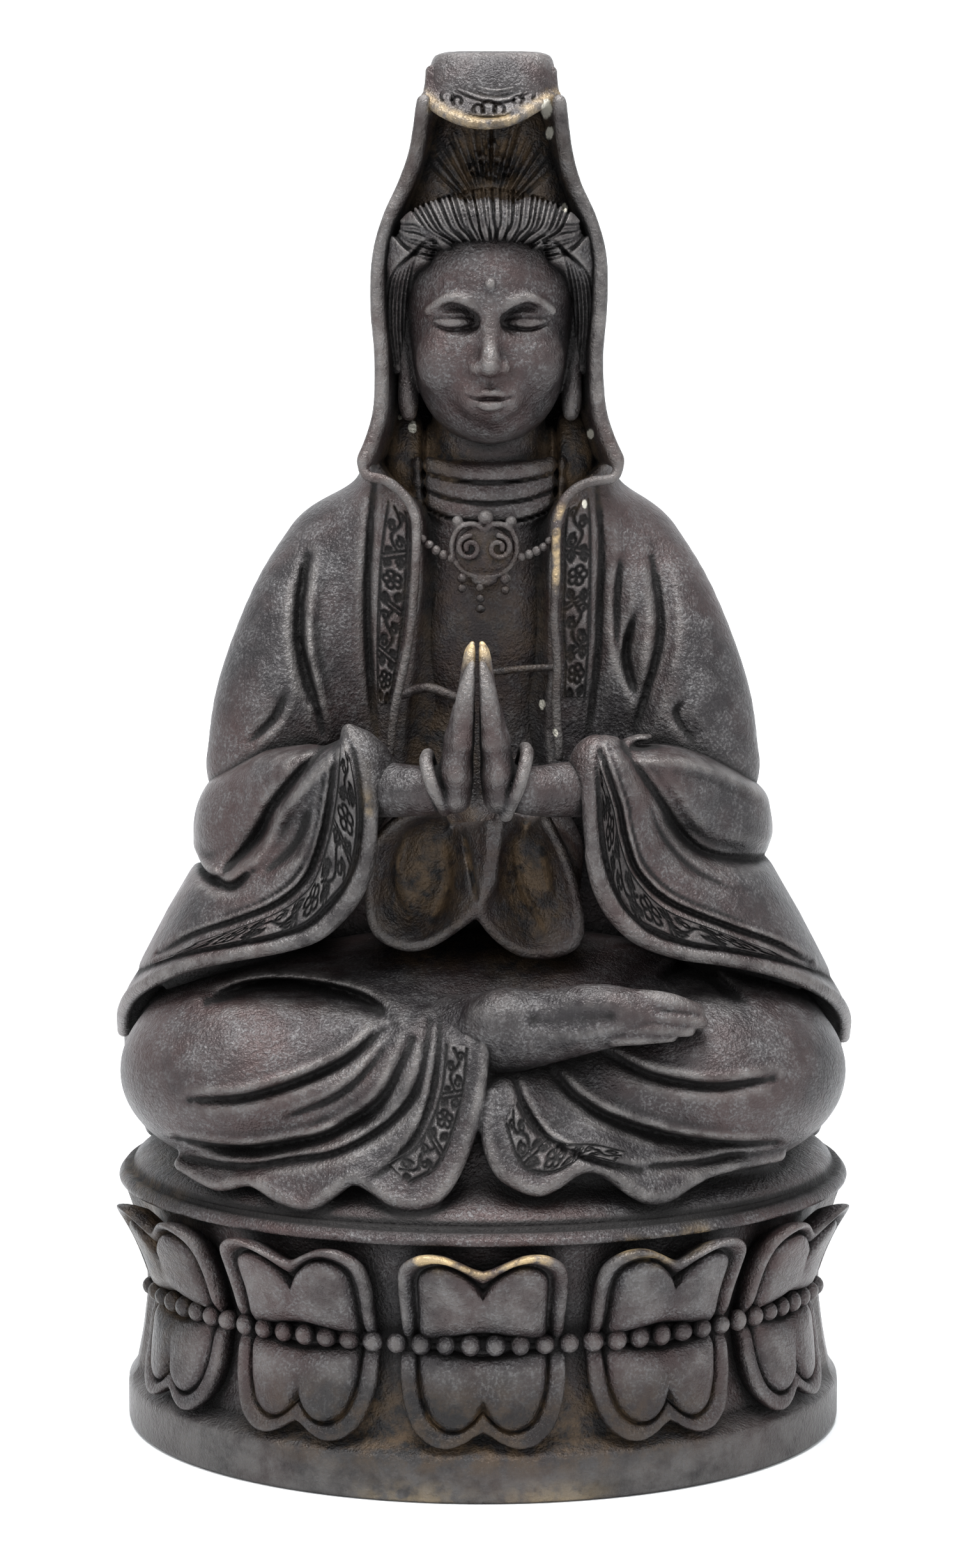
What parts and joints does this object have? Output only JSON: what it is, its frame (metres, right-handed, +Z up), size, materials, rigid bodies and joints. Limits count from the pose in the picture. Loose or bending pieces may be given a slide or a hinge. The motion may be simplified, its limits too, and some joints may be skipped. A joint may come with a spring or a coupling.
{
  "type": "seated guanyin statue",
  "caption": "Seated, hooded Guanyin with pressed palms on a double lotus pedestal, cast as one hollow metal piece.",
  "frame": {"origin": "middle of the underside, on the surface that the pedestal stands on", "axes": "+Z up through the hood, -Y the way the figure faces, +X towards the figure's left hand"},
  "size_m": [0.1203, 0.1088, 0.22],
  "materials": {
    "patina": "dark brown patina over cast brass, rubbed bright on the raised edges"
  },
  "bodies": {
    "root": {"statue": "patina"}
  },
  "joints": []
}
